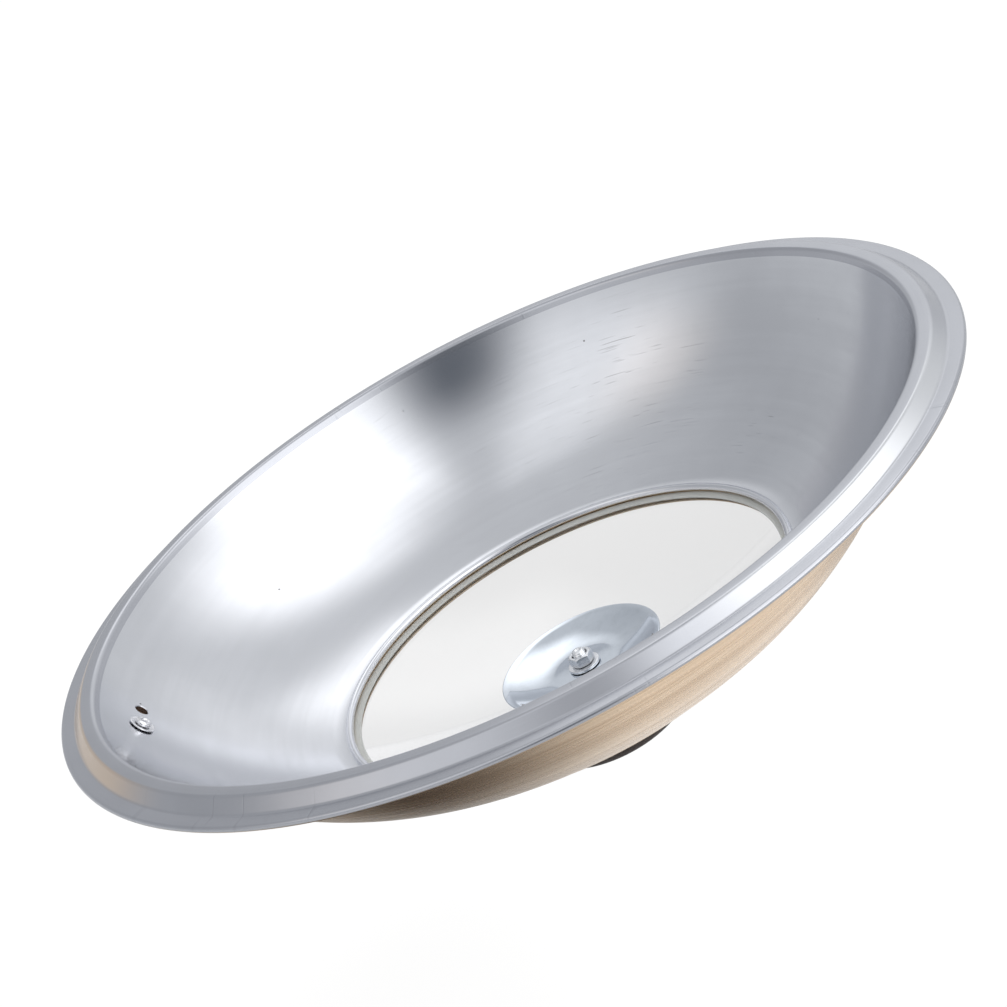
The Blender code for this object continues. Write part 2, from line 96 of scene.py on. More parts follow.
# Hub
SMALL_SEGMENTS = 96
DISH_RADIUS, _, DISH_TOP = limits("hub_dish")
DISH_SHEET = 0.8
DISH_FLAT_RADIUS = 12.0
DISH_LIP_WIDTH = 2.0
DISH_LIP_RISE = 0.4
DISH_CENTRE = FLANGE_TOP - 74.3
BORE_RADIUS = 2.8
THREAD_RADIUS = 2.5
THREAD_PITCH = 0.8
THREAD_DEPTH = 0.45
NUT_FLATS = 8.0
NUT_FACE_SHARE = 0.96

# Camera, in the lid's own frame
CAMERA_PLACE_M = (0.0019, -0.6962, 0.3859)
CAMERA_ELEVATION = radians(22.72)
CAMERA_ROLL = radians(28.5)
CAMERA_LENS = 78.08


# Drawing in the (radius, height) plane

def arc(centre, radius, start_deg, end_deg, steps):
    """Points along a circle, from one angle to another."""
    angles = [radians(start_deg + (end_deg - start_deg) * i / steps) for i in range(steps + 1)]
    return [(centre[0] + radius * cos(a), centre[1] + radius * sin(a)) for a in angles]


def arc_through(start, end, bulge):
    """Centre and radius of the arc that joins two points and bulges down and outwards."""
    chord = Vector(end) - Vector(start)
    half = chord.length / 2
    radius = (half * half + bulge * bulge) / (2 * bulge)
    outward = Vector((-chord.y, chord.x)).normalized()
    if outward.y > 0:
        outward.negate()
    centre = (Vector(start) + Vector(end)) / 2 - outward * (radius - bulge)
    return (centre.x, centre.y), radius


def rounded(corners, radius):
    """A closed outline with each corner off the axis replaced by a small curve."""
    steps = 4
    outline = []
    for i, here in enumerate(corners):
        here = Vector(here)
        before = Vector(corners[i - 1]) - here
        after = Vector(corners[(i + 1) % len(corners)]) - here
        if here.x < TINY:
            outline.append(tuple(here))
            continue
        reach = min(radius, 0.45 * before.length, 0.45 * after.length)
        start = here + before.normalized() * reach
        end = here + after.normalized() * reach
        for k in range(steps + 1):
            t = k / steps
            outline.append(tuple(start * (1 - t) ** 2 + here * 2 * t * (1 - t) + end * t * t))
    return outline


def follow(height, start, end, steps, lift=0.0):
    """Points on a curved face between two radii, raised by lift."""
    radii = [start + (end - start) * i / steps for i in range(steps + 1)]
    return [(r, height(r) + lift) for r in radii]


# Making meshes

def finished(name, mesh, materials, body, nodes, sharp_deg=32.0):
    """Names a mesh, gives it its materials and puts it on its CAD body in place of CAD nodes."""
    if not mesh.materials:
        paint(mesh, materials)
    mesh.shade_smooth()
    mesh.set_sharp_from_angle(angle=radians(sharp_deg))
    piece = bpy.data.objects.new(name, mesh)
    bpy.context.scene.collection.objects.link(piece)
    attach(piece, body)
    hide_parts(*nodes)
    return piece


def paint(mesh, materials):
    """Gives a mesh its materials; its faces already say which."""
    for finish in materials:
        mesh.materials.append(finish)


def turned_mesh(name, outline, segments, finishes=None, warp=None):
    """A mesh turned about Z from a closed (radius, height) outline; warp moves each point."""
    vertices, rings = [], []
    for r, z in outline:
        start = len(vertices)
        if r < TINY:
            vertices.append((0.0, 0.0, z * MM))
            rings.append([start] * segments)
            continue
        for i in range(segments):
            angle = 2 * pi * i / segments
            radius, height = warp(angle, r, z) if warp else (r, z)
            vertices.append((radius * cos(angle) * MM, radius * sin(angle) * MM, height * MM))
        rings.append(list(range(start, start + segments)))
    faces, indices = [], []
    for k, ring in enumerate(rings):
        following = rings[(k + 1) % len(rings)]
        for i in range(segments):
            j = (i + 1) % segments
            face = list(dict.fromkeys((ring[i], following[i], following[j], ring[j])))
            if len(face) > 2:
                faces.append(face)
                indices.append(finishes[k] if finishes else 0)
    mesh = bpy.data.meshes.new(name)
    mesh.from_pydata(vertices, [], faces)
    mesh.polygons.foreach_set("material_index", indices)
    outward(mesh)
    return mesh


def outward(mesh):
    """Turns a closed mesh's faces outwards."""
    bm = bmesh.new()
    bm.from_mesh(mesh)
    bmesh.ops.recalc_face_normals(bm, faces=bm.faces)
    bm.to_mesh(mesh)
    bm.free()


def boolean(mesh, cutter, operation="DIFFERENCE"):
    """The mesh that is left when a cutter mesh works on another."""
    target = bpy.data.objects.new("target", mesh)
    tool = bpy.data.objects.new("tool", cutter)
    bpy.context.scene.collection.objects.link(target)
    bpy.context.scene.collection.objects.link(tool)
    modifier = target.modifiers.new("cut", "BOOLEAN")
    modifier.operation = operation
    modifier.solver = "EXACT"
    modifier.object = tool
    bpy.context.view_layer.update()
    graph = bpy.context.evaluated_depsgraph_get()
    result = bpy.data.meshes.new_from_object(target.evaluated_get(graph))
    bpy.data.objects.remove(target)
    bpy.data.objects.remove(tool)
    return result


# Shell

WALL_CENTRE, WALL_OUTER = arc_through(WALL_TOP, WALL_FOOT, WALL_BULGE)
WALL_INNER = WALL_OUTER - SHEET


def rim_path(depth):
    """The rim's face at a depth into the sheet, from the flange inwards and down to the wall."""
    flange = (PLUG_FOOT_RADIUS + FLANGE_ROUND * tan(PLUG_SLOPE / 2), FLANGE_TOP + FLANGE_ROUND)
    crest = LIP_TOP - LIP_ROUND
    rise = crest - FLANGE_TOP
    outer = (PLUG_FOOT_RADIUS - (LIP_ROUND + rise * cos(PLUG_SLOPE)) / sin(PLUG_SLOPE), crest)
    reach = sqrt((WALL_INNER + LIP_ROUND) ** 2 - (crest - WALL_CENTRE[1]) ** 2)
    inner = (WALL_CENTRE[0] + reach, crest)
    meets_wall = degrees(atan2(crest - WALL_CENTRE[1], reach))
    slope = degrees(PLUG_SLOPE)
    path = arc(flange, FLANGE_ROUND + depth, 270, 270 - slope, RIM_STEPS)
    path += arc(outer, LIP_ROUND - depth, 90 - slope, 90, RIM_STEPS)
    path += arc(inner, LIP_ROUND - depth, 90, 180 + meets_wall, RIM_STEPS)
    radius = WALL_INNER + depth
    foot = -degrees(acos((WALL_FOOT[0] - WALL_CENTRE[0]) / radius))
    path += arc(WALL_CENTRE, radius, meets_wall, foot, 48)[1:]
    return path


def shell_skin(rim, dome, gold):
    """The spun sheet: rim and hollow face bare, outer face gold, holes for the vent and its rivet."""
    roll = (RIM_RADIUS - EDGE_ROLL, FLANGE_TOP - EDGE_ROLL)
    edge = arc(roll, EDGE_ROLL, -175, 0, 10)[:-1] + arc(roll, EDGE_ROLL, 0, 90, 6)
    inner = rim_path(0.0)
    bead = arc(WINDOW_BEAD, WINDOW_BEAD_RADIUS, -20, 270, 20)
    outline = edge + inner + bead + rim_path(SHEET)[::-1]
    rim_faces = len(edge) + 3 * (RIM_STEPS + 1)
    bare_faces = len(edge) + len(inner) + len(bead) - GOLD_BEAD_FACES
    rim_slot, dome_slot, gold_slot = 0, 1, 2
    finishes = [gold_slot] * GOLD_EDGE_FACES + [rim_slot] * (rim_faces - GOLD_EDGE_FACES)
    finishes += [dome_slot] * (bare_faces - rim_faces)
    finishes += [gold_slot] * (len(outline) - len(finishes))
    mesh = turned_mesh("shell_skin", outline, SHELL_SEGMENTS, finishes)
    paint(mesh, [rim, dome, gold])
    for radius, place in ((VENT_HOLE_RADIUS, HOLE_FRAME), (RIVET_HOLE_RADIUS, RIVET_FRAME)):
        mesh = boolean(mesh, punch(radius, place))
    return finished("shell_skin", mesh, [rim, dome, gold], LID, ["lid_shell"])


def punch(radius, place):
    """A cutter for a hole through the wall, flared where it leaves the sheet."""
    flare = 0.25
    reach = 5.0
    half = SHEET / 2
    mouth = radius + flare
    wide = mouth + reach - half
    outline = [(0, reach), (wide, reach), (mouth, half), (radius, half - flare)]
    outline += [(radius, flare - half), (mouth, -half), (wide, -reach), (0, -reach)]
    mesh = turned_mesh("punch", outline, 48)
    mesh.transform(place @ Matrix.Translation((0, 0, -half * MM)))
    return mesh


# Window

GLASS_SAG = GLASS_EDGE - GLASS_CENTRE
GLASS_CURVE = (GLASS_RADIUS ** 2 + GLASS_SAG ** 2) / (2 * GLASS_SAG)


def glass_top(r):
    """Height of the glass's hollow face at a distance from the axis."""
    return GLASS_CENTRE + GLASS_CURVE - sqrt(GLASS_CURVE ** 2 - r ** 2)


def glass_bottom(r):
    """Height of the glass's outer face at a distance from the axis."""
    outer = GLASS_CURVE + GLASS_THICKNESS
    return GLASS_CENTRE + GLASS_CURVE - sqrt(outer ** 2 - r ** 2)


def window_pane(glass):
    """The domed glass with its ground edges."""
    ground = 0.5
    outline = follow(glass_top, GLASS_HOLE_RADIUS + ground, GLASS_RADIUS - ground, 40)
    outline += [(GLASS_RADIUS, glass_top(GLASS_RADIUS) - ground)]
    outline += [(GLASS_RADIUS, glass_bottom(GLASS_RADIUS) + ground)]
    outline += follow(glass_bottom, GLASS_RADIUS - ground, GLASS_HOLE_RADIUS + ground, 40)
    outline += [(GLASS_HOLE_RADIUS, glass_bottom(GLASS_HOLE_RADIUS) + ground)]
    outline += [(GLASS_HOLE_RADIUS, glass_top(GLASS_HOLE_RADIUS) - ground)]
    mesh = turned_mesh("window_pane", outline, WINDOW_SEGMENTS)
    return finished("window_pane", mesh, [glass], LID, ["window_glass"])


def seal_lip(silicone):
    """The silicone ring between the glass and the shell; its rounded lip shows inside."""
    top = SHELL_FOOT - GAP
    bead = 0.35
    web = 0.6
    outer = GLASS_RADIUS - 1.0
    inner = SEAL_LIP_RADIUS + 1.2
    outline = follow(glass_top, SEAL_LIP_RADIUS + bead, GLASS_RADIUS, 6, GAP)
    outline += [(GLASS_RADIUS, top), (outer, glass_top(outer) + web), (inner, glass_top(inner) + web - 0.05)]
    outline += arc((SEAL_LIP_RADIUS + bead, glass_top(SEAL_LIP_RADIUS) + GAP + bead), bead, 80, 250, 8)
    mesh = turned_mesh("seal_lip", outline, WINDOW_SEGMENTS)
    return finished("seal_lip", mesh, [silicone], LID, ["window_seal"])


def outer_ring(gold):
    """The ring that holds the glass from outside, tapered from the wall to its lip."""
    web = GLASS_RADIUS + GAP
    lip = glass_bottom(RING_LIP_RADIUS) - GAP
    shelf = glass_bottom(GLASS_RADIUS) - GAP
    lip_width = 1.0
    edge = 0.2
    corners = [(web, RING_TOP), (web, shelf), (RING_LIP_RADIUS, lip), (RING_LIP_RADIUS, lip - RING_SHEET)]
    corners += [(RING_LIP_RADIUS + lip_width, lip - RING_SHEET), (RING_RADIUS - edge, RING_TOP - 2 * edge)]
    corners += [(RING_RADIUS, RING_TOP - edge), (RING_RADIUS - edge, RING_TOP)]
    mesh = turned_mesh("outer_ring", rounded(corners, 0.25), WINDOW_SEGMENTS)
    return finished("outer_ring", mesh, [gold], LID, ["window_ring"])


# Hub

def dish_face(r):
    """Height of the dish's hollow face: flat round the bolt, then rising to its lip."""
    rise = DISH_TOP - DISH_CENTRE - DISH_LIP_RISE
    share = max(0.0, r - DISH_FLAT_RADIUS) / (DISH_RADIUS - DISH_LIP_WIDTH - DISH_FLAT_RADIUS)
    return DISH_CENTRE + rise * share ** 2


def pressed_dish(steel):
    """The polished dish, with a rounded crease where its flatter lip begins."""
    shoulder = DISH_RADIUS - DISH_LIP_WIDTH
    edge = DISH_SHEET / 2
    crease = 0.3
    lean = degrees(atan2(DISH_LIP_RISE, DISH_LIP_WIDTH))
    outline = follow(dish_face, BORE_RADIUS, shoulder - crease, 40)
    outline += [(shoulder, dish_face(shoulder) - 0.03), (shoulder + crease, dish_face(shoulder) + 0.05)]
    outline += arc((DISH_RADIUS - edge, DISH_TOP - edge), edge, 90 + lean, lean - 90, 12)
    outline += follow(dish_face, shoulder, BORE_RADIUS, 40, -DISH_SHEET)
    mesh = turned_mesh("pressed_dish", outline, 192)
    return finished("pressed_dish", mesh, [steel], LID, ["hub_dish"])


def flat_washer(name, node, zinc, edge):
    """A flat washer on the bolt with softened edges, as big as its CAD node."""
    radius, low, high = limits(node)
    corners = [(BORE_RADIUS, low), (radius, low), (radius, high), (BORE_RADIUS, high)]
    mesh = turned_mesh(name, rounded(corners, edge), SMALL_SEGMENTS)
    return finished(name, mesh, [zinc], LID, [node])


def dish_gasket_ring(silicone):
    """The silicone washer that sits in the hollow of the glass."""
    radius, _, high = limits("dish_gasket")
    outline = [(radius, high), (BORE_RADIUS, high)]
    outline += follow(glass_top, BORE_RADIUS, radius, 12, 2 * GAP)
    mesh = turned_mesh("dish_gasket_ring", outline, SMALL_SEGMENTS)
    return finished("dish_gasket_ring", mesh, [silicone], LID, ["dish_gasket"])


def hex_nut(zinc):
    """The hexagon nut: its corners are turned off at 30 degrees, and its bore is plain."""
    _, low, high = limits("hub_nut")
    corner = NUT_FLATS / 2 / cos(pi / 6)
    face = NUT_FLATS / 2 * NUT_FACE_SHARE
    turn_off = (corner - face) * tan(radians(30))
    countersink = 0.3
    outline = [(BORE_RADIUS + countersink, low), (face, low), (corner, low + turn_off)]
    outline += [(corner, high - turn_off), (face, high), (BORE_RADIUS + countersink, high)]
    outline += [(BORE_RADIUS, high - countersink), (BORE_RADIUS, low + countersink)]
    mesh = turned_mesh("hex_nut", outline, 144)
    bottom, top = low - 2, high + 2
    prism = [(0, bottom), (corner, bottom), (corner, top), (0, top)]
    mesh = boolean(mesh, turned_mesh("prism", prism, 6), "INTERSECT")
    piece = finished("hex_nut", mesh, [zinc], LID, ["hub_nut"], 20.0)
    soften(piece, 0.12)
    return piece


def soften(piece, width):
    """Rounds a piece's hard edges."""
    bevel = piece.modifiers.new("soften", "BEVEL")
    bevel.width = width * MM
    bevel.segments = 2
    bevel.limit_method = "ANGLE"
    bevel.angle_limit = radians(25)
    bevel.harden_normals = True


def threaded_bolt(zinc):
    """The bolt: slotted head in the knob, and a thread that shows above the nut."""
    head, foot, end = limits("knob_bolt")
    seat = limits("knob_washer")[1] - GAP
    thread_from = limits("hub_washer")[2] - 4.0
    head_round = 0.8
    outline = [(0, foot), (head - head_round, foot)]
    outline += arc((head - head_round, foot + head_round), head_round, -80, 0, 6)
    outline += [(head, seat), (THREAD_RADIUS, seat)]
    step = THREAD_PITCH / 8
    outline += [(THREAD_RADIUS, thread_from + i * step) for i in range(int((end - 0.5 - thread_from) / step))]
    outline += [(THREAD_RADIUS - 0.15, end - 0.35), (THREAD_RADIUS - 0.45, end - 0.05)]
    outline += [(THREAD_RADIUS - 0.6, end), (1.3, end), (0.9, end - 0.35), (0, end - 0.45)]

    def thread(angle, r, z):
        if abs(r - THREAD_RADIUS) > TINY or z < thread_from:
            return r, z
        turn = (z / THREAD_PITCH - angle / (2 * pi)) % 1.0
        return r - THREAD_DEPTH * abs(2 * turn - 1), z

    mesh = turned_mesh("threaded_bolt", outline, 64, warp=thread)
    reach, depth, narrow = 14, 1.4, 0.06
    slot = turned_mesh("slot", [(0, -depth), (reach, -depth), (reach, depth), (0, depth)], 4)
    slot.transform(Matrix.Translation((0, 0, foot * MM)) @ Matrix.Diagonal((1, narrow, 1, 1)))
    mesh = boolean(mesh, slot)
    return finished("threaded_bolt", mesh, [zinc], LID, ["knob_bolt"])


# Knob

def knob_moulding(phenolic):
    """The moulded knob: base, necked waist, rounded head and the bolt's recess."""
    radius, end, base = limits("knob_body")
    corner = 5.0
    neck = 15.5
    head = end + 2 * corner - 1.0
    scoop = (base - 1.5 - head) / 2
    foot, foot_round = 17.3, 0.7
    recess, recess_depth, recess_round = 11.2, 7.2, 0.8
    outline = [(BORE_RADIUS, base), (foot - 0.1, base)]
    outline += arc((foot, base - foot_round), foot_round, 80, -60, 6)
    outline += arc((neck + scoop, head + scoop), scoop, 145, 262, 24)
    outline += arc((radius - corner, end + corner), corner, 62, -90, 24)
    outline += arc((recess + recess_round, end + recess_round), recess_round, -90, -180, 6)
    outline += [(recess, end + recess_depth), (BORE_RADIUS, end + recess_depth)]
    mesh = turned_mesh("knob_moulding", outline, 160)
    return finished("knob_moulding", mesh, [phenolic], LID, ["knob_body"])


def knob_disc(phenolic):
    """The disc in the knob's recess, slightly dished."""
    radius, low, high = limits("knob_cap")
    hollow, hollow_radius, edge = 0.5, 9, 0.5
    outline = [(r, low + hollow * (1 - (r / hollow_radius) ** 2)) for r in (0, 2, 4, 6, 8, hollow_radius)]
    outline += arc((radius - edge, low + edge), edge, -90, 0, 6) + [(radius, high), (0, high)]
    mesh = turned_mesh("knob_disc", outline, SMALL_SEGMENTS)
    return finished("knob_disc", mesh, [phenolic], LID, ["knob_cap"])


def knob_seat_gasket(silicone):
    """The silicone washer under the knob, with the sleeve that lines the glass's hole."""
    radius, low, high = limits("knob_gasket")
    sleeve = GLASS_HOLE_RADIUS - GAP
    outline = [(BORE_RADIUS, low), (radius - 0.3, low), (radius, low + 0.3)]
    outline += follow(glass_bottom, radius, sleeve, 12, -GAP)
    outline += [(sleeve, high), (BORE_RADIUS, high)]
    mesh = turned_mesh("knob_seat_gasket", outline, SMALL_SEGMENTS)
    return finished("knob_seat_gasket", mesh, [silicone], LID, ["knob_gasket"])


# Vent

def wall_frame(angle):
    """Axes on the wall's outer face at an angle: X towards lower angles, Z out of the wall."""
    radius = hypot(*SWIVEL["pos_m"][:2])
    fall = -acos((radius / MM - WALL_CENTRE[0]) / WALL_OUTER)
    height = (WALL_CENTRE[1] + WALL_OUTER * sin(fall)) * MM
    out = Vector((cos(angle) * cos(fall), sin(angle) * cos(fall), sin(fall)))
    along = Vector((sin(angle), -cos(angle), 0.0))
    place = Matrix((along, out.cross(along), out)).transposed().to_4x4()
    place.translation = Vector((cos(angle) * radius, sin(angle) * radius, height))
    return place


VENT_STEP = radians(4.9)
COVER_SHEET = 0.8
COVER_TAB_HALF = 2.5
COVER_HOLE_END = 6.2
SPRING_HEIGHT = 0.4
WASHER_BORE = 1.7
BURR_GAP = 0.5
BURR_DEPTH = 0.5
RIVET_SEGMENTS = 64
RIVET_ANGLE = atan2(SWIVEL["pos_m"][1], SWIVEL["pos_m"][0])
RIVET_FRAME = wall_frame(RIVET_ANGLE)
HOLE_FRAME = wall_frame(RIVET_ANGLE - VENT_STEP)
VENT_SPACING = (HOLE_FRAME.translation - RIVET_FRAME.translation).length / MM


def cover_plate(bm):
    """The cover's flat face, and the edge where its tab begins."""
    rivet_end = 5.0
    lean = degrees(acos((rivet_end - COVER_HOLE_END) / VENT_SPACING))
    notch = degrees(atan2(COVER_TAB_HALF, COVER_HOLE_END))
    plate = arc((0, 0), rivet_end, lean, 360 - lean, 48)
    plate += arc((VENT_SPACING, 0), COVER_HOLE_END, -lean, -notch, 20)
    tab = len(plate)
    plate += arc((VENT_SPACING, 0), COVER_HOLE_END, notch, lean, 20)
    corners = [bm.verts.new((x * MM, y * MM, 0)) for x, y in plate]
    bm.faces.new(corners)
    return corners[tab - 1], corners[tab]


def finger_tab(bm, left, right):
    """The tab's faces: it curls up, runs straight to its tip and narrows a little."""
    curl = 1.6
    run, climb = 0.35, 0.6
    taper = 0.25
    start = left.co.x / MM
    angles = [radians(10 * k) for k in range(1, 7)]
    rows = [(start + curl * sin(a), curl * (1 - cos(a))) for a in angles]
    reach, rise = rows[-1]
    rows += [(reach + k * run, rise + k * climb) for k in range(1, 4)]
    for i, (x, z) in enumerate(rows):
        width = COVER_TAB_HALF * (1 - taper * (i / len(rows)) ** 3)
        after = [bm.verts.new((x * MM, y * MM, z * MM)) for y in (-width, width)]
        bm.faces.new((left, after[0], after[1], right))
        left, right = after


def swivel_cover(gold, painted_shade_finish):
    """The plate over the steam hole, with a finger tab that curls up."""
    bm = bmesh.new()
    left, right = cover_plate(bm)
    finger_tab(bm, left, right)
    bmesh.ops.recalc_face_normals(bm, faces=bm.faces)
    moved = bmesh.ops.extrude_face_region(bm, geom=list(bm.faces))["geom"]
    top = [v for v in moved if isinstance(v, bmesh.types.BMVert)]
    bmesh.ops.translate(bm, verts=top, vec=(0, 0, COVER_SHEET * MM))
    bmesh.ops.translate(bm, verts=bm.verts, vec=(0, 0, GAP * MM))
    mesh = bpy.data.meshes.new("swivel_cover")
    bm.to_mesh(mesh)
    bm.free()
    outward(mesh)
    paint(mesh, [gold, painted_shade_finish])
    # Faces towards the wall get the dark painted shade.
    for face in mesh.polygons:
        face.material_index = 1 if face.normal.z < -0.5 else 0
    bore, reach = 1.58, 3
    mesh = boolean(mesh, turned_mesh("bore", [(0, -reach), (bore, -reach), (bore, reach), (0, reach)], 48))
    mesh.transform(RIVET_FRAME)
    piece = finished("swivel_cover", mesh, [gold, painted_shade_finish], COVER, ["vent_cover"])
    soften(piece, 0.15)
    return piece


def on_wall(name, outline, finish, node, warp=None):
    """A turned piece on the rivet's axis; heights count out of the wall."""
    mesh = turned_mesh(name, outline, RIVET_SEGMENTS, warp=warp)
    mesh.transform(RIVET_FRAME)
    return finished(name, mesh, [finish], LID, [node])


def rivet_pin(metal):
    """The rivet: domed head outside, and a tubular tail that is rolled over inside."""
    head = 2 * GAP + COVER_SHEET + SPRING_HEIGHT + GAP
    tail = -SHEET - BURR_GAP - BURR_DEPTH - GAP
    shank, head_radius, head_rise = 1.5, 3.1, 1.5
    hollow, roll, lip = 1.1, 0.9, 0.6
    outline = [(0, tail + 0.3), (hollow - 0.1, tail + 0.1), (hollow, tail - 0.5)]
    outline += arc((hollow + roll, tail - 0.5), roll, 180, 290, 8)[1:]
    outline += arc((hollow + 2 * lip, tail - 0.4), lip, -60, 0, 4)
    outline += [(hollow + 3 * lip, tail), (shank, tail), (shank, head), (head_radius, head)]
    angles = [radians(a) for a in range(6, 90, 7)]
    outline += [((head_radius + 0.2) * cos(a), head + head_rise * sin(a)) for a in angles]
    outline += [(0, head + head_rise)]
    return on_wall("rivet_pin", outline, metal, "vent_rivet")


def burr_washer(metal):
    """The washer under the rivet's tail, with a raised rim."""
    high = -SHEET - BURR_GAP
    sheet, rim, crest, flat = 0.35, 4.6, 4.3, 3.9
    corners = [(WASHER_BORE, high), (WASHER_BORE, high - sheet), (flat, high - sheet)]
    corners += [(crest, high - BURR_DEPTH), (rim, high - BURR_DEPTH + 0.1), (rim, high)]
    return on_wall("burr_washer", rounded(corners, 0.15), metal, "vent_burr")


def wave_washer(zinc):
    """The thin spring washer, bent in three waves."""
    low = 2 * GAP + COVER_SHEET
    radius, sheet, swing = 3.0, 0.3, 0.06
    corners = [(WASHER_BORE, low), (radius, low), (radius, low + sheet), (WASHER_BORE, low + sheet)]

    def wave(angle, r, z):
        return r, z + swing * (1 + cos(3 * angle))

    return on_wall("wave_washer", rounded(corners, 0.08), zinc, "vent_spring_washer", wave)


# Materials

class Finish:
    """One material's node graph, with short calls for the nodes that it needs."""

    def __init__(self, name, **inputs):
        self.material = bpy.data.materials.new(name)
        self.material.use_nodes = True
        self.tree = self.material.node_tree
        self.shader = self.tree.nodes["Principled BSDF"]
        self.place = self.add("TexCoord").outputs["Object"]
        self.set(**inputs)

    def set(self, **inputs):
        """Feeds the main shader; an underscore in a name stands for a space."""
        for key, value in inputs.items():
            self.feed(self.shader.inputs[key.replace("_", " ")], value)

    def feed(self, socket, value):
        """Links a socket to another or gives it a value."""
        if isinstance(value, bpy.types.NodeSocket):
            self.tree.links.new(value, socket)
        elif socket.type == "RGBA":
            socket.default_value = (*value, 1.0)
        else:
            socket.default_value = value

    def add(self, kind, inputs=None, **settings):
        """A node with its settings and its inputs, which are named or numbered."""
        node = self.tree.nodes.new("ShaderNode" + kind)
        for key, value in settings.items():
            setattr(node, key, value)
        for key, value in (inputs or {}).items():
            self.feed(node.inputs[key], value)
        return node

    def math(self, operation, a, b=0.0, c=0.0):
        """The result of one sum."""
        return self.add("Math", {0: a, 1: b, 2: c}, operation=operation).outputs[0]

    def ramp(self, value, low, high, start=0.0, end=1.0):
        """A smooth step from start to end as value goes from low to high."""
        inputs = {"Value": value, "From Min": low, "From Max": high, "To Min": start, "To Max": end}
        return self.add("MapRange", inputs, interpolation_type="SMOOTHSTEP").outputs[0]

    def blend(self, share, a, b):
        """A colour between two colours."""
        node = self.add("Mix", data_type="RGBA")
        for socket, value in ((node.inputs["Factor"], share), (node.inputs[6], a), (node.inputs[7], b)):
            self.feed(socket, value)
        return node.outputs[2]

    def noise(self, vector, scale, detail=3.0, roughness=0.5):
        """A noise texture's value."""
        inputs = {"Vector": vector, "Scale": scale, "Detail": detail, "Roughness": roughness}
        return self.add("TexNoise", inputs).outputs["Fac"]

    def polar(self):
        """Distance from the Z axis, height, and the direction round the axis as x and y."""
        parts = self.add("SeparateXYZ", {0: self.place})
        x, y, z = parts.outputs
        radius = self.math("SQRT", self.math("ADD", self.math("MULTIPLY", x, x), self.math("MULTIPLY", y, y)))
        return radius, z, self.math("DIVIDE", x, radius), self.math("DIVIDE", y, radius)

    def streaks(self, around, across, slant=0.6):
        """Coordinates in which a noise becomes lines that run round the axis."""
        radius, z, x, y = self.polar()
        level = self.math("ADD", radius, self.math("MULTIPLY", z, slant))
        inputs = {0: self.math("MULTIPLY", x, around), 1: self.math("MULTIPLY", y, around)}
        inputs[2] = self.math("MULTIPLY", level, across)
        return self.add("CombineXYZ", inputs).outputs[0]

    def near(self, point_m, core, reach):
        """1 within core of a point, falling to 0 at reach, in metres."""
        away = self.add("VectorMath", {0: self.place, 1: point_m}, operation="DISTANCE").outputs["Value"]
        return self.ramp(away, core, reach, 1.0, 0.0)

    def tint(self, share, colour):
        """Mixes a colour over the base colour."""
        before = self.shader.inputs["Base Color"].links[0].from_socket
        self.set(Base_Color=self.blend(share, before, colour))

    def layer(self, share, shader):
        """Mixes another shader over the main one."""
        mixed = self.add("MixShader", {0: share, 1: self.shader.outputs[0], 2: shader}).outputs[0]
        self.feed(self.tree.nodes["Material Output"].inputs["Surface"], mixed)

    def bump(self, height, depth):
        """Adds a height times a depth in millimetres to the surface's normal."""
        inputs = {"Height": height, "Distance": depth * MM}
        before = self.shader.inputs["Normal"]
        if before.links:
            inputs["Normal"] = before.links[0].from_socket
        self.set(Normal=self.add("Bump", inputs).outputs[0])


def brushed(name, anisotropy, **inputs):
    """A metal whose fine lines run round the axis."""
    finish = Finish(name, Metallic=1.0, Anisotropic=anisotropy, Anisotropic_Rotation=0.25, **inputs)
    finish.set(Tangent=finish.add("Tangent", direction_type="RADIAL", axis="Z").outputs[0])
    return finish


def bare_aluminium(name, colour, roughness, anisotropy, groove):
    """Spun aluminium: fine lines round the axis and faint clouding."""
    finish = brushed(name, anisotropy)
    lines = finish.noise(finish.streaks(2.0, 2600.0), 1.0, 2.0)
    broad = finish.noise(finish.streaks(1.5, 260.0), 1.0, 3.0)
    blotches = finish.noise(finish.place, 22.0, 4.0, 0.55)
    tone = finish.math("ADD", finish.math("MULTIPLY", broad, 0.3), finish.math("MULTIPLY", blotches, 0.7))
    darker = tuple(0.93 * c for c in colour)
    finish.set(Base_Color=finish.blend(finish.ramp(tone, 0.35, 0.65), darker, colour))
    finish.set(Roughness=finish.ramp(tone, 0.3, 0.7, roughness * 1.15, roughness * 0.85))
    finish.bump(lines, groove)
    return finish


def worn_dome():
    """The hollow face: clouded, with fine scratches where the lid is wiped, and small pits."""
    finish = bare_aluminium("dome_aluminium", (0.76, 0.77, 0.80), 0.18, 0.3, 0.0015)
    scratch = finish.noise(finish.streaks(9.0, 2200.0), 1.0, 1.0)
    patch = finish.near((0.070, 0.112, 0.066), 0.012, 0.045)
    patch = finish.math("MAXIMUM", patch, finish.near((0.098, 0.049, 0.051), 0.004, 0.016))
    stray = finish.ramp(finish.noise(finish.place, 9.0, 2.0), 0.58, 0.78, 0.0, 0.5)
    share = finish.math("MAXIMUM", patch, stray)
    scratched = finish.math("MULTIPLY", finish.ramp(scratch, 0.68, 0.75), share)
    spots = finish.add("TexVoronoi", {"Vector": finish.place, "Scale": 55.0, "Randomness": 1.0})
    pits = finish.ramp(spots.outputs["Distance"], 0.012, 0.028, 1.0, 0.0)
    marks = finish.math("MAXIMUM", finish.math("MULTIPLY", scratched, 0.55), pits)
    finish.tint(marks, (0.16, 0.15, 0.15))
    finish.bump(marks, -0.02)
    return finish.material


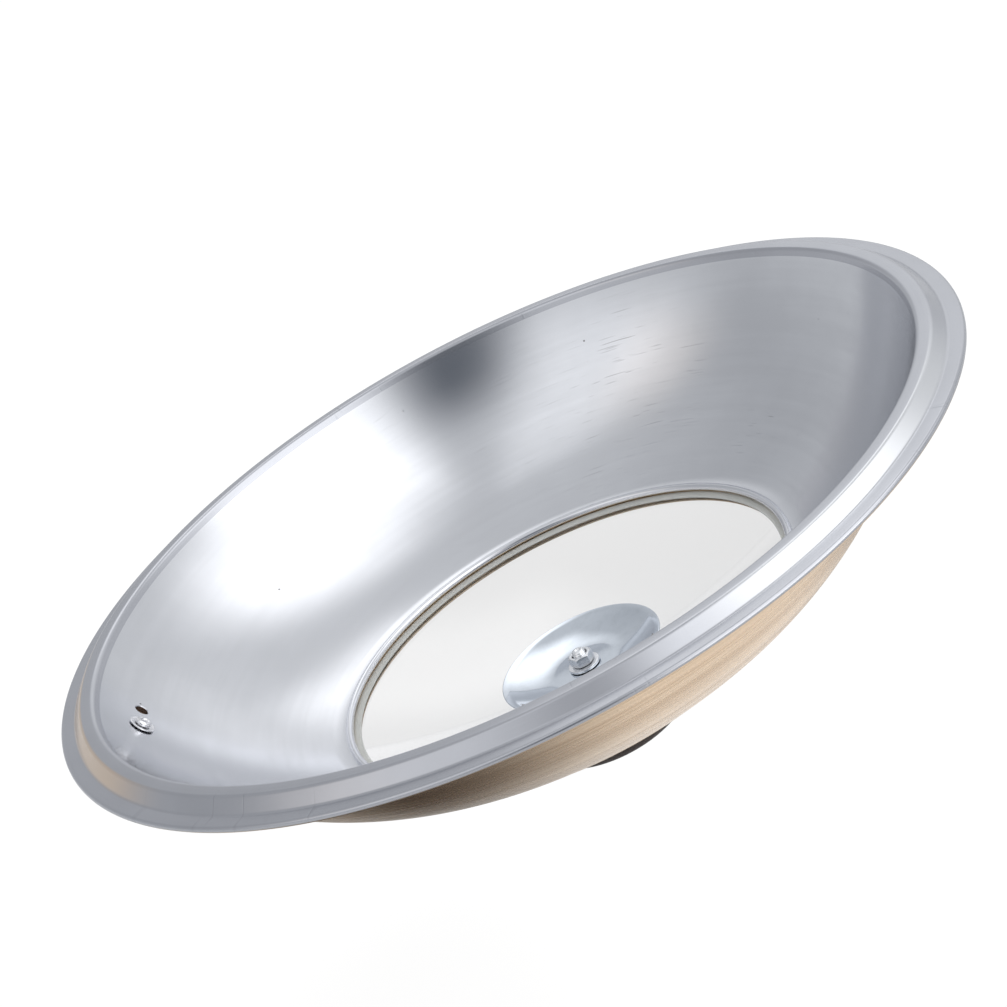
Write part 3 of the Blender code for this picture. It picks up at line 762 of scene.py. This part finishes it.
def worn_rim_with_painted_light():
    """The satin rim: brushed round the axis, with short marks across it where the pan's edge rubs, a painted
    highlight on the front right of its slope and a painted warm reflection on the left of its slope.
    """
    finish = bare_aluminium("rim_aluminium", (0.56, 0.57, 0.605), 0.24, 0.4, 0.015)
    across = finish.noise(finish.streaks(70.0, 45.0), 1.0, 2.0)
    some = finish.ramp(finish.noise(finish.place, 14.0, 2.0), 0.45, 0.6)
    marks = finish.math("MULTIPLY", finish.ramp(across, 0.64, 0.74), some)
    finish.tint(finish.math("MULTIPLY", marks, 0.3), (0.30, 0.31, 0.34))
    radius = finish.polar()[0]
    above = finish.ramp(radius, 0.1592, 0.1602)
    below = finish.ramp(radius, 0.1635, 0.165, 1.0, 0.0)
    slope = finish.math("MULTIPLY", above, below)
    # Painted highlight: the slope is lighter on the front right, where it catches the main light.
    painted_highlight = finish.math("MULTIPLY", finish.near((0.105, -0.12, 0.10), 0.045, 0.09), slope)
    finish.tint(painted_highlight, (0.76, 0.77, 0.79))
    # Painted reflection: a warm beige tint on the left of the slope, in place of warm light reflected there.
    painted_warm_reflection = finish.math("MULTIPLY", finish.near((-0.158, -0.022, 0.09), 0.035, 0.08), slope)
    finish.tint(finish.math("MULTIPLY", painted_warm_reflection, 0.85), (0.80, 0.64, 0.49))
    finish.bump(marks, -0.02)
    return finish.material


def gold_lacquer():
    """Brushed aluminium under champagne-gold lacquer, with fine wood-like lines round the axis."""
    finish = brushed("gold_lacquer", 0.5, Coat_Weight=0.25, Coat_Roughness=0.15)
    broad = finish.noise(finish.streaks(0.8, 150.0), 1.0, 2.0, 0.6)
    fine = finish.noise(finish.streaks(0.9, 800.0), 1.0, 1.0)
    mixed = finish.math("ADD", finish.math("MULTIPLY", broad, 0.65), finish.math("MULTIPLY", fine, 0.35))
    deep, pale = (0.60, 0.455, 0.31), (0.82, 0.67, 0.50)
    finish.set(Base_Color=finish.blend(finish.ramp(mixed, 0.35, 0.65), deep, pale))
    finish.set(Roughness=finish.ramp(fine, 0.3, 0.7, 0.30, 0.22))
    finish.bump(fine, 0.0008)
    return finish.material


def painted_shade_lacquer():
    """The cover's face on the wall side: dark brown painted shade, for the shadow it lies in behind the steam
    hole.
    """
    finish = Finish("painted_shade_lacquer", Metallic=0.4, Specular_IOR_Level=0.3)
    blotches = finish.noise(finish.place, 300.0, 4.0, 0.6)
    finish.set(Base_Color=finish.blend(blotches, (0.035, 0.015, 0.008), (0.20, 0.10, 0.05)))
    finish.set(Roughness=finish.ramp(blotches, 0.3, 0.7, 0.6, 0.4))
    finish.bump(blotches, 0.02)
    return finish.material


def pane_glass():
    """Clear glass that lets the light through to the floor, with faint smears."""
    finish = Finish("pane_glass", Base_Color=(0.81, 0.81, 0.81), Transmission_Weight=1.0, IOR=1.5)
    finish.set(Specular_IOR_Level=0.1)
    smears = finish.noise(finish.place, 35.0, 4.0, 0.6)
    finish.set(Roughness=finish.ramp(smears, 0.45, 0.75, 0.0, 0.03))
    clear = finish.add("BsdfTransparent", {"Color": (0.95, 0.955, 0.955)}).outputs[0]
    path = finish.add("LightPath").outputs
    passing = finish.math("MAXIMUM", path["Is Shadow Ray"], path["Is Diffuse Ray"])
    finish.layer(passing, clear)
    return finish.material


def silicone_rubber():
    """Translucent grey silicone with a fine satin grain."""
    finish = Finish("silicone_rubber", Subsurface_Weight=0.4, Subsurface_Scale=0.002, IOR=1.41)
    finish.set(Subsurface_Radius=(1.0, 1.0, 1.0))
    grain = finish.noise(finish.place, 900.0, 3.0)
    patches = finish.noise(finish.place, 60.0, 3.0)
    finish.set(Base_Color=finish.blend(patches, (0.52, 0.53, 0.50), (0.66, 0.67, 0.64)))
    finish.set(Roughness=finish.ramp(grain, 0.3, 0.7, 0.35, 0.5))
    finish.bump(grain, 0.02)
    return finish.material


def plated_steel(name, colour, roughness, grain_depth, wear=1.0):
    """Bright steel with faint turning lines and small marks."""
    finish = Finish(name, Metallic=1.0)
    lines = finish.noise(finish.streaks(1.0, 1500.0), 1.0, 2.0)
    marks = finish.noise(finish.place, 160.0, 5.0, 0.65)
    darker = tuple((1 - 0.18 * wear) * c for c in colour)
    finish.set(Base_Color=finish.blend(finish.ramp(marks, 0.35, 0.6), darker, colour))
    dull, bright = roughness * (1 + 0.4 * wear), roughness * (1 - 0.2 * wear)
    finish.set(Roughness=finish.ramp(marks, 0.3, 0.7, dull, bright))
    finish.bump(lines, grain_depth)
    finish.bump(marks, grain_depth * 2 * wear)
    return finish.material


def moulded_phenolic():
    """Dark brown-black moulding, semi-gloss, with a fine skin texture and worn patches."""
    finish = Finish("moulded_phenolic", Coat_Weight=0.1, Coat_Roughness=0.2, Specular_IOR_Level=0.4)
    skin = finish.noise(finish.place, 1400.0, 3.0)
    patches = finish.noise(finish.place, 70.0, 5.0, 0.6)
    finish.set(Base_Color=finish.blend(patches, (0.013, 0.007, 0.005), (0.034, 0.019, 0.014)))
    finish.set(Roughness=finish.ramp(patches, 0.3, 0.7, 0.28, 0.42))
    finish.bump(skin, 0.03)
    return finish.material


def matte_floor():
    """The pale studio floor, which the camera sees almost evenly white; what the lid reflects of it has a
    painted shadow at the front left and a glowing, painted pool of light at the front right.
    """
    finish = Finish("studio_floor", Roughness=0.7)
    tone = finish.noise(finish.place, 3.0, 4.0)
    finish.set(Base_Color=finish.blend(tone, (0.76, 0.76, 0.76), (0.80, 0.80, 0.80)))
    painted_shadow_place, painted_light_place = (-0.095, -0.12, 0.0), (0.05, -0.10, 0.0)
    # Painted shadow: the floor is darker round one point at the front left, which the gold reflects.
    finish.tint(finish.near(painted_shadow_place, 0.03, 0.12), (0.12, 0.10, 0.09))
    # Painted pool of light: the floor glows round one point at the front right, which the gold reflects.
    painted_light_pool = finish.math("MULTIPLY", finish.near(painted_light_place, 0.03, 0.15), 0.42)
    finish.set(Emission_Color=(1.0, 0.97, 0.95), Emission_Strength=painted_light_pool)
    path = finish.add("LightPath").outputs
    seen = finish.math("MAXIMUM", path["Is Camera Ray"], path["Is Transmission Ray"])
    whiteness, share = 1.09, 0.9
    white = finish.add("Emission", {"Color": (1.0, 1.0, 1.0), "Strength": whiteness}).outputs[0]
    finish.layer(finish.math("MULTIPLY", seen, share), white)
    return finish.material


# Stage

def stage():
    """The floor, which lies just under the knob."""
    bm = bmesh.new()
    bmesh.ops.create_grid(bm, x_segments=8, y_segments=8, size=6.0)
    mesh = bpy.data.meshes.new("studio_floor")
    bm.to_mesh(mesh)
    bm.free()
    mesh.materials.append(matte_floor())
    floor = bpy.data.objects.new("studio_floor", mesh)
    bpy.context.scene.collection.objects.link(floor)


class Sky:
    """The world's light: an even grey with soft-edged panels, each set by its direction and size."""

    def __init__(self, colour, strength):
        made = bpy.data.worlds.new("studio")
        bpy.context.scene.world = made
        made.use_nodes = True
        self.tree = made.node_tree
        self.ground = self.tree.nodes["Background"]
        way = self.node("TexCoord").outputs["Generated"]
        x, y, z = self.node("SeparateXYZ", way).outputs
        self.azimuth = self.sum("ARCTAN2", y, x)
        self.elevation = self.sum("ARCSINE", z)
        self.light = self.node("CombineColor", *[strength * c for c in colour]).outputs[0]

    def node(self, kind, *values):
        """A node with its inputs in order."""
        made = self.tree.nodes.new("ShaderNode" + kind)
        for socket, value in zip(made.inputs, values):
            if isinstance(value, bpy.types.NodeSocket):
                self.tree.links.new(value, socket)
            else:
                socket.default_value = value
        return made

    def sum(self, operation, *values):
        """The result of one sum."""
        made = self.node("Math", *values)
        made.operation = operation
        return made.outputs[0]

    def inside(self, angle, half, edge):
        """1 where an angle from a panel's middle is under half its width, 0 past its soft edge."""
        made = self.node("MapRange", angle, half + edge / 2, half - edge / 2)
        made.interpolation_type = "SMOOTHSTEP"
        return made.outputs[0]

    def panel(self, azimuth_deg, elevation_deg, width_deg, height_deg, strength, edge_deg, colour=(1, 1, 1)):
        """Adds a panel; azimuth 0 is at +X and 90 at +Y, and a strength under 0 takes light away."""
        turn = self.sum("WRAP", self.sum("SUBTRACT", self.azimuth, radians(azimuth_deg)), pi, -pi)
        rise = self.sum("SUBTRACT", self.elevation, radians(elevation_deg))
        edge = radians(edge_deg)
        across = self.inside(self.sum("ABSOLUTE", turn), radians(width_deg / 2), edge)
        upright = self.inside(self.sum("ABSOLUTE", rise), radians(height_deg / 2), edge)
        share = self.sum("MULTIPLY", across, upright)
        tint = self.node("CombineColor", *[strength * c for c in colour]).outputs[0]
        scaled = self.node("VectorMath", tint)
        scaled.operation = "SCALE"
        self.tree.links.new(share, scaled.inputs["Scale"])
        added = self.node("VectorMath", self.light, scaled.outputs[0])
        added.operation = "ADD"
        self.light = added.outputs[0]

    def finish(self):
        """Lights the scene with what has been added."""
        floored = self.node("VectorMath", self.light, (0.01, 0.01, 0.01))
        floored.operation = "MAXIMUM"
        self.tree.links.new(floored.outputs[0], self.ground.inputs["Color"])


WARM = (1.0, 0.76, 0.55)   # the colour of the warm panel


def light():
    """A grey room with soft lights in it, darker behind the camera and at the back left."""
    sky = Sky((0.945, 0.965, 1.0), 0.65)
    sky.panel(335, 50, 90, 45, 1.0, 30)             # the main light, at the front right
    sky.panel(315, 10, 60, 30, 1.5, 25)             # a low window under it
    sky.panel(215, 60, 60, 50, 0.4, 40)             # a weak light at the front left
    sky.panel(260, 35, 35, 40, -0.5, 25)            # the dark side of the room, at the camera
    sky.panel(140, 35, 80, 40, -0.15, 40)           # the dark corner at the back left
    sky.panel(45, 35, 70, 50, 0.1, 40)              # fill from the back right
    sky.panel(65, 20, 40, 15, 0.25, 25)             # a low strip that the rim sees
    sky.panel(75, 45, 35, 25, 0.8, 15)              # a small light that the dish sees
    sky.panel(185, 50, 30, 25, 0.15, 20, WARM)      # a faint warm glow at the left
    sky.finish()


def camera():
    """The camera, rolled about its own axis as it was held."""
    data = bpy.data.cameras.new("camera")
    data.lens = CAMERA_LENS
    data.clip_start, data.clip_end = 0.01, 20.0
    made = bpy.data.objects.new("camera", data)
    bpy.context.scene.collection.objects.link(made)
    level = Matrix.Rotation(pi / 2 - CAMERA_ELEVATION, 4, "X")
    made.matrix_world = Matrix.Translation(CAMERA_PLACE_M) @ level @ Matrix.Rotation(-CAMERA_ROLL, 4, "Z")
    bpy.context.scene.camera = made


def build():
    """Makes every piece, then the stage."""
    rim = worn_rim_with_painted_light()
    dome = worn_dome()
    gold = gold_lacquer()
    silicone = silicone_rubber()
    steel = plated_steel("polished_steel", (0.75, 0.80, 0.86), 0.06, 0.0006, 0.3)
    zinc = plated_steel("zinc_plate", (0.90, 0.91, 0.93), 0.26, 0.006, 0.6)
    soft = plated_steel("rivet_aluminium", (0.86, 0.86, 0.88), 0.25, 0.01)
    phenolic = moulded_phenolic()
    shell_skin(rim, dome, gold)
    window_pane(pane_glass())
    seal_lip(silicone)
    outer_ring(gold)
    pressed_dish(steel)
    dish_gasket_ring(silicone)
    flat_washer("plain_washer", "hub_washer", zinc, 0.2)
    hex_nut(zinc)
    threaded_bolt(zinc)
    knob_seat_gasket(silicone)
    knob_moulding(phenolic)
    flat_washer("bolt_head_washer", "knob_washer", zinc, 0.15)
    knob_disc(phenolic)
    swivel_cover(gold, painted_shade_lacquer())
    rivet_pin(soft)
    wave_washer(zinc)
    burr_washer(soft)
    stage()
    light()
    camera()
    bpy.context.scene.view_settings.view_transform = "Standard"


build()
